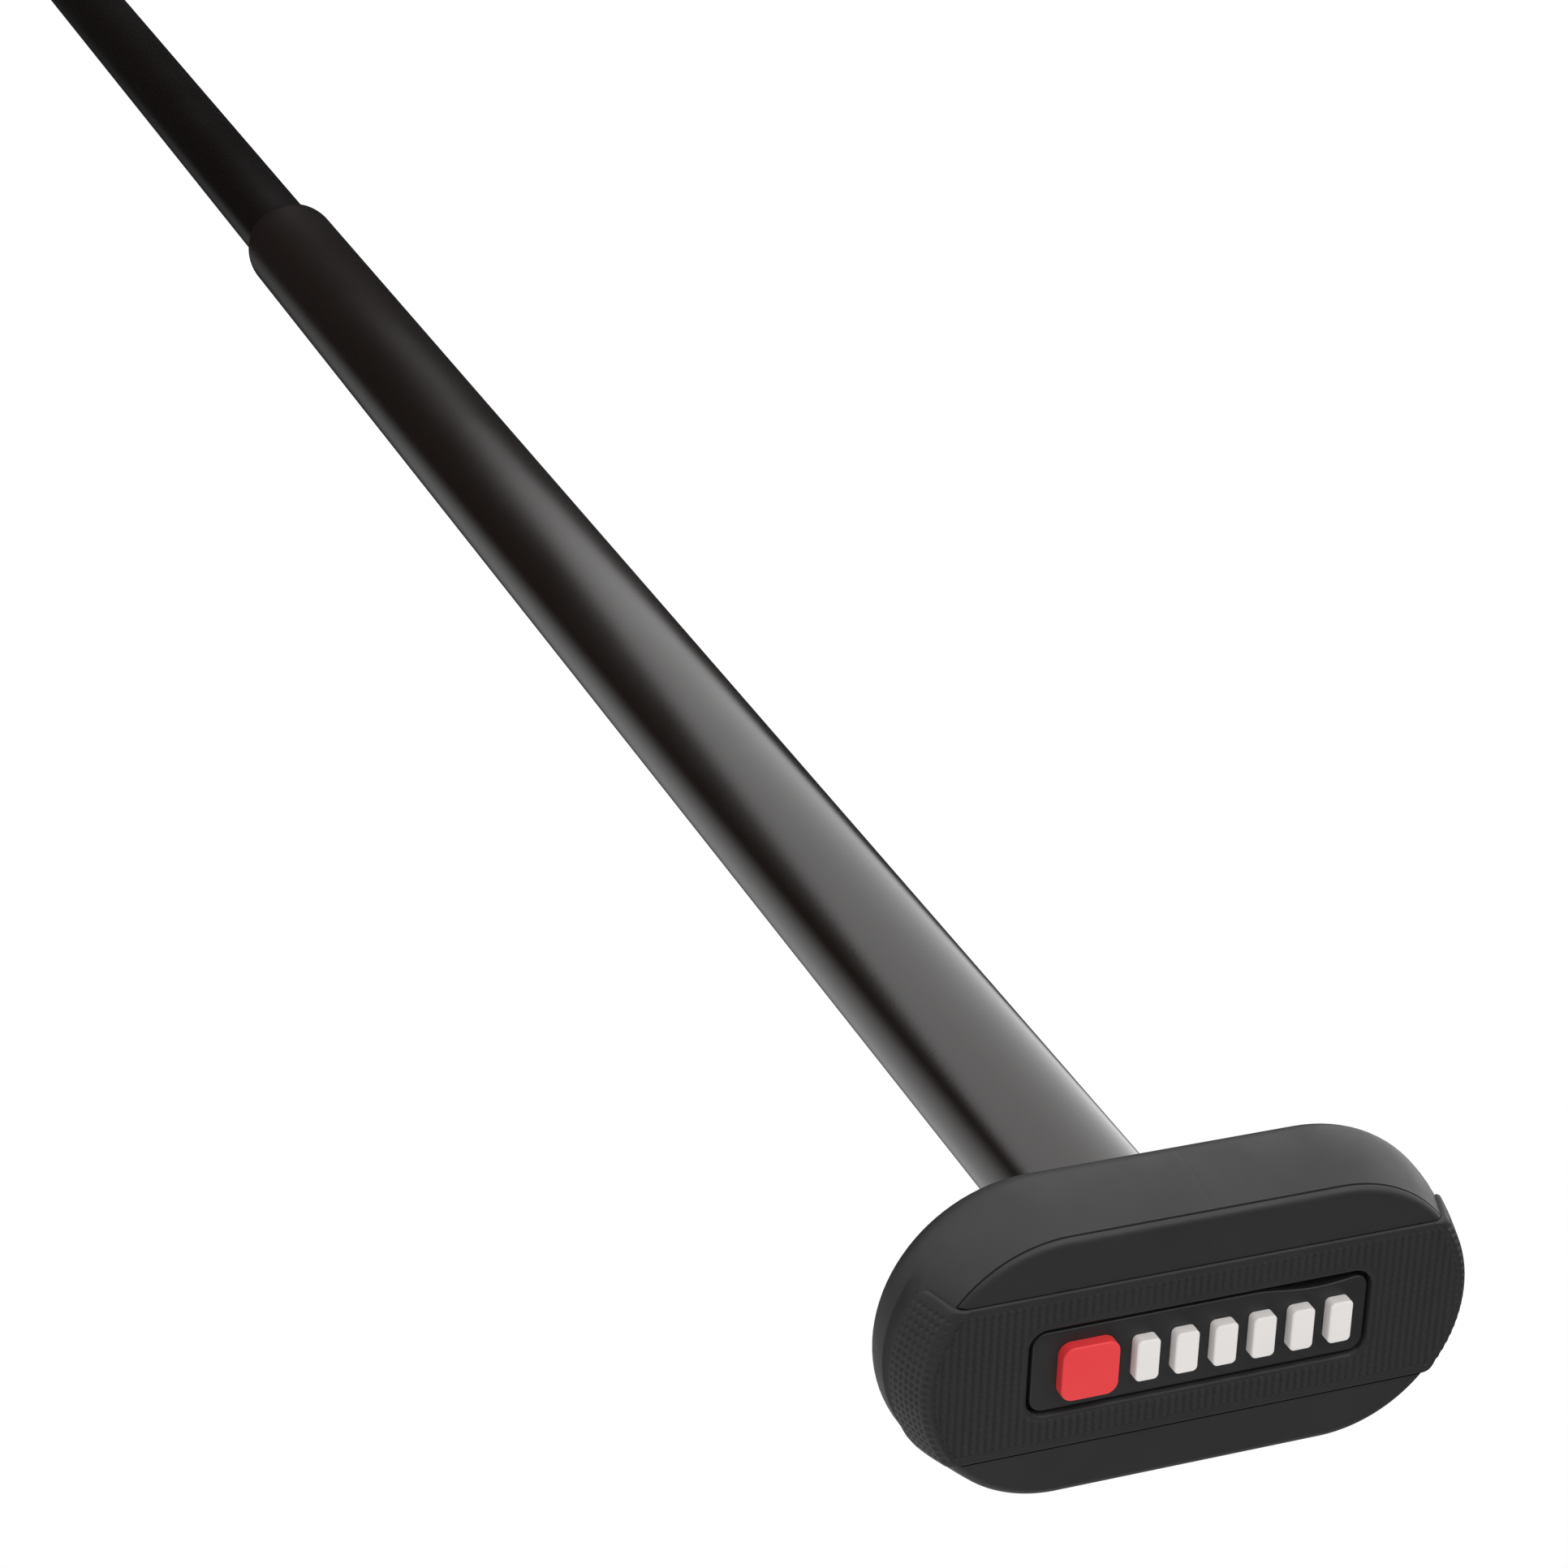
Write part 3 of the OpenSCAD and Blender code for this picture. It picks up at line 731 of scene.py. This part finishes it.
def middle_tube():
    profile = tube_profile(middle_low.z, middle_high.z, middle_high.x, MIDDLE_BORE,
                           lower_high.x + WALL_GAP)
    return lathe("middle_tube_skin", profile, steps=144, closed=True)


def lower_tube():
    edge = 0.1 * MM
    r = lower_high.x
    profile = [(LOWER_BORE, lower_low.z), (r - edge, lower_low.z), (r, lower_low.z + edge),
               (r, lower_high.z - edge), (r - edge, lower_high.z), (LOWER_BORE, lower_high.z)]
    return lathe("lower_tube_skin", profile, steps=128, closed=True)


def ribs(count, radius, first, spacing, rise, slope, width):
    """Ring-shaped ribs, or grooves where rise is negative, as (radius, z) points."""
    points = []
    for i in range(count):
        z = first + i * spacing
        points += [(radius, z), (radius + rise, z + slope), (radius + rise, z + width - slope),
                   (radius, z + width)]
    return points


def tip_ferrule():
    """The tip's sleeve: a wide foot, a taper to a ribbed waist and a small collar on top."""
    r = ferrule_high.x
    low = ferrule_low.z
    high = ferrule_high.z
    waist = lower_high.x + 1.1 * MM
    bore = lower_high.x + 0.03 * MM
    collar_r = waist + 0.7 * MM
    chamfer = 0.2 * MM
    shoulder_z = low + 6 * MM
    shoulder_r = 0.8 * MM
    taper_z = low + 7 * MM
    taper_h = 8 * MM
    taper_steps = 9
    collar_round = 0.6 * MM
    profile = [(bore, low), (r - chamfer, low), (r, low + chamfer)]
    profile += arc(r - shoulder_r, shoulder_z, shoulder_r, 0, 40)
    for i in range(1, taper_steps + 1):
        t = i / taper_steps
        ease = t * t * (3 - 2 * t)
        profile.append((r - chamfer + (waist - r + chamfer) * ease, taper_z + taper_h * t))
    profile += ribs(5, waist, low + 17 * MM, 2.6 * MM, 0.25 * MM, 0.3 * MM, 1.3 * MM)
    profile += [(waist, high - 3 * MM), (collar_r - 0.1 * MM, high - 1.9 * MM)]
    profile += arc(collar_r - collar_round, high - collar_round, collar_round, 0, 90)
    profile.append((bore, high))
    return lathe("tip_ferrule_skin", profile, steps=112, closed=True)


def wear_tip():
    """The tip's end: a flat foot, a round shoulder, two grooves and a plug in the ferrule."""
    r = wear_high.x
    foot = 4 * MM
    core = 0.05 * MM
    plug_r = 1.8 * MM
    edge = 0.15 * MM
    shoulder_r = 2.4 * MM
    top = ferrule_low.z
    profile = [(core, wear_low.z), (foot, wear_low.z)]
    profile += arc(r - shoulder_r, wear_low.z + 2.5 * MM, shoulder_r, -75, 0, 12)
    profile += ribs(2, r, wear_low.z + 3.4 * MM, 1.3 * MM, -0.3 * MM, 0.25 * MM, 0.8 * MM)
    profile += [(r, top - edge), (r - edge, top), (plug_r, top),
                (plug_r, wear_high.z), (core, wear_high.z)]
    return lathe("wear_tip_skin", profile, steps=112)


# ---------------------------------------------------------------- camera, floor and light
LENS = 93.17                          # millimetres, on a 36 mm sensor
EYE = Vector((-0.14867, 0.2028, TOP + 0.27054))
EYE_RIGHT = Vector((0.9345, 0.0272, 0.3550))
EYE_UP = Vector((0.1321, 0.8995, -0.4165))
FLOOR_HALF = 12                       # metres
KEY_PLACE = (0.5, 1.6, TOP + 0.9)
KEY_SIZE = (1.4, 1.0)
KEY_POWER = 11


def camera():
    """The camera above the handle, looking along the shaft towards its far end."""
    data = bpy.data.cameras.new("camera")
    data.lens = LENS
    data.sensor_width = 36
    data.clip_start = 0.01
    obj = bpy.data.objects.new("camera", data)
    bpy.context.scene.collection.objects.link(obj)
    turn = Matrix((EYE_RIGHT, EYE_UP, EYE_RIGHT.cross(EYE_UP))).transposed().to_4x4()
    obj.matrix_world = Matrix.Translation(EYE) @ turn
    bpy.context.scene.camera = obj


def floor():
    """A pale floor that reflections don't see."""
    half = FLOOR_HALF
    verts = [(-half, -half, 0), (half, -half, 0), (half, half, 0), (-half, half, 0)]
    obj = new_object("floor", verts, [(0, 1, 2, 3)])
    mat, tree, shader, coords = nodes_of("pale_floor")
    shade = noise(tree, coords, 3, detail=2)
    tree.links.new(tint(tree, shade, (0.93, 0.93, 0.93), (0.95, 0.95, 0.95)),
                   shader.inputs["Base Color"])
    shader.inputs["Roughness"].default_value = 0.9
    shader.inputs["Specular IOR Level"].default_value = 0.1
    obj.data.materials.append(mat)
    obj.visible_glossy = False


def softbox(name, place, target, size, power):
    """A rectangular lamp turned to its target."""
    data = bpy.data.lights.new(name, "AREA")
    data.shape = "RECTANGLE"
    data.size, data.size_y = size
    data.energy = power
    obj = bpy.data.objects.new(name, data)
    bpy.context.scene.collection.objects.link(obj)
    obj.location = place
    obj.rotation_euler = (Vector(target) - Vector(place)).to_track_quat("-Z", "Y").to_euler()


# What the gloss sees: soft white cards in a dark room. Each has a strength and the soft-edged
# cones that bound it, as a direction, the cosine at the cone's edge and the cosine inside it.
CARDS = [
    (1.82, [((0.064, 0.186, 0.981), -0.796, -0.762), ((0.293, 0.815, -0.500), 0.09, 0.36)]),
    (0.83, [((-0.475, -0.880, -0.017), 0.33, 0.66)]),
]
ROOM = 0.02                           # the dark room round the cards


def combine(tree, operation, first, second):
    """A Math node on two sockets, or the second one alone if there is no first."""
    if first is None:
        return second
    node = tree.nodes.new("ShaderNodeMath")
    node.operation = operation
    tree.links.new(first, node.inputs[0])
    tree.links.new(second, node.inputs[1])
    return node.outputs["Value"]


def cone(tree, coords, direction, edge, inside, strength):
    """Strength inside a soft-edged cone round the direction, and nothing outside."""
    dot = tree.nodes.new("ShaderNodeVectorMath")
    dot.operation = "DOT_PRODUCT"
    dot.inputs[1].default_value = Vector(direction).normalized()
    tree.links.new(coords.outputs["Generated"], dot.inputs[0])
    step = tree.nodes.new("ShaderNodeMapRange")
    step.interpolation_type = "SMOOTHSTEP"
    step.inputs["From Min"].default_value = edge
    step.inputs["From Max"].default_value = inside
    step.inputs["To Max"].default_value = strength
    tree.links.new(dot.outputs["Value"], step.inputs["Value"])
    return step.outputs["Result"]


def studio():
    """Even white light all round; in reflections, a dark room with soft white cards."""
    world = bpy.data.worlds.new("studio")
    bpy.context.scene.world = world
    world.use_nodes = True
    tree = world.node_tree
    background = tree.nodes["Background"]
    out = tree.nodes["World Output"]
    background.inputs["Color"].default_value = (1, 1, 1, 1)
    background.inputs["Strength"].default_value = 1.0
    coords = tree.nodes.new("ShaderNodeTexCoord")
    total = None
    for strength, cones in CARDS:
        card = None
        for direction, edge, inside in cones:
            soft = cone(tree, coords, direction, edge, inside, strength if card is None else 1)
            card = combine(tree, "MULTIPLY", card, soft)
        total = combine(tree, "ADD", total, card)
    dim = tree.nodes.new("ShaderNodeMath")
    dim.operation = "ADD"
    dim.inputs[1].default_value = ROOM
    tree.links.new(total, dim.inputs[0])
    room = tree.nodes.new("ShaderNodeBackground")
    tree.links.new(dim.outputs["Value"], room.inputs["Color"])
    rays = tree.nodes.new("ShaderNodeLightPath")
    mix = tree.nodes.new("ShaderNodeMixShader")
    tree.links.new(rays.outputs["Is Glossy Ray"], mix.inputs["Fac"])
    tree.links.new(background.outputs["Background"], mix.inputs[1])
    tree.links.new(room.outputs["Background"], mix.inputs[2])
    tree.links.new(mix.outputs["Shader"], out.inputs["Surface"])
    softbox("key", KEY_PLACE, (0, 0, TOP), KEY_SIZE, KEY_POWER)


# ---------------------------------------------------------------- build
camera()
floor()
studio()
bpy.context.scene.view_settings.view_transform = "Standard"

piece(rear_shell(), "upper_section", "rear_shell", HANDLE)
piece(front_cap(), "upper_section", "front_cap", HANDLE)
ring = collar()
ring.data.materials.append(HANDLE)
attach(ring, "upper_section")
piece(grip_band(), "upper_section", "grip_band", BAND)
piece(badge_plate(), "upper_section", "badge_plate", BADGE)
piece(badge_stud(), "upper_section", "badge_stud", RED)
for number in range(1, BAR_COUNT + 1):
    piece(badge_bar(number), "upper_section", f"badge_bar_{number}", WHITE)
piece(upper_tube(), "upper_section", "upper_tube", TUBE)
piece(middle_tube(), "middle_section", "middle_tube", INNER)
piece(lower_tube(), "lower_section", "lower_tube", INNER)
piece(tip_ferrule(), "lower_section", "tip_ferrule", TIP)
piece(wear_tip(), "lower_section", "wear_tip", WEAR)

for node, material in CAD_LOOKS.items():
    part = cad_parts[node]
    part.data.materials.clear()
    part.data.materials.append(material)
